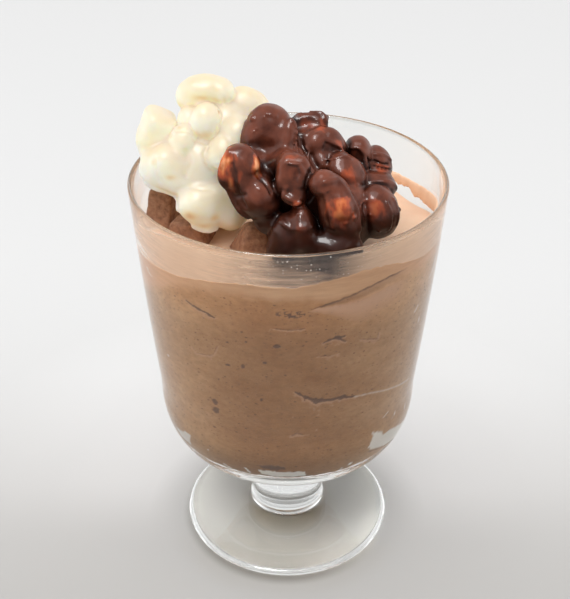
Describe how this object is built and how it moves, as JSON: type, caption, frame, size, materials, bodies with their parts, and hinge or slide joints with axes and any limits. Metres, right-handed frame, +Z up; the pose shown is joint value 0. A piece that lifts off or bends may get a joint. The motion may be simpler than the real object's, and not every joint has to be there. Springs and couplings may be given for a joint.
{
  "type": "chocolate mousse in a footed glass",
  "caption": "Footed dessert glass filled with chocolate mousse, topped with a white and a dark chocolate nut cluster and rough chocolate chunks; stands on its foot.",
  "frame": {"origin": "middle of the foot's underside, on the plane that the glass stands on", "axes": "+Z up along the glass's axis; +X to the right and +Y away when the dark cluster is in front and to the right and the white cluster to the left"},
  "size_m": [0.085, 0.085, 0.1465],
  "materials": {
    "clear_glass": "clear, smooth, thick in the bottom and the foot",
    "mousse": "soft airy chocolate mousse, satin, with small bubbles and folds",
    "white_chocolate": "smooth satin ivory coat with tan patches",
    "dark_chocolate": "smooth glossy dark coat with thin reddish brown patches",
    "rough_chocolate": "rough, dry, cocoa coloured"
  },
  "bodies": {
    "root": {"glass": "clear_glass", "mousse": "mousse", "dark_cluster": "dark_chocolate", "white_cluster": "white_chocolate", "chunk_left": "rough_chocolate", "chunk_under_white": "rough_chocolate", "chunk_front": "rough_chocolate"}
  },
  "joints": []
}
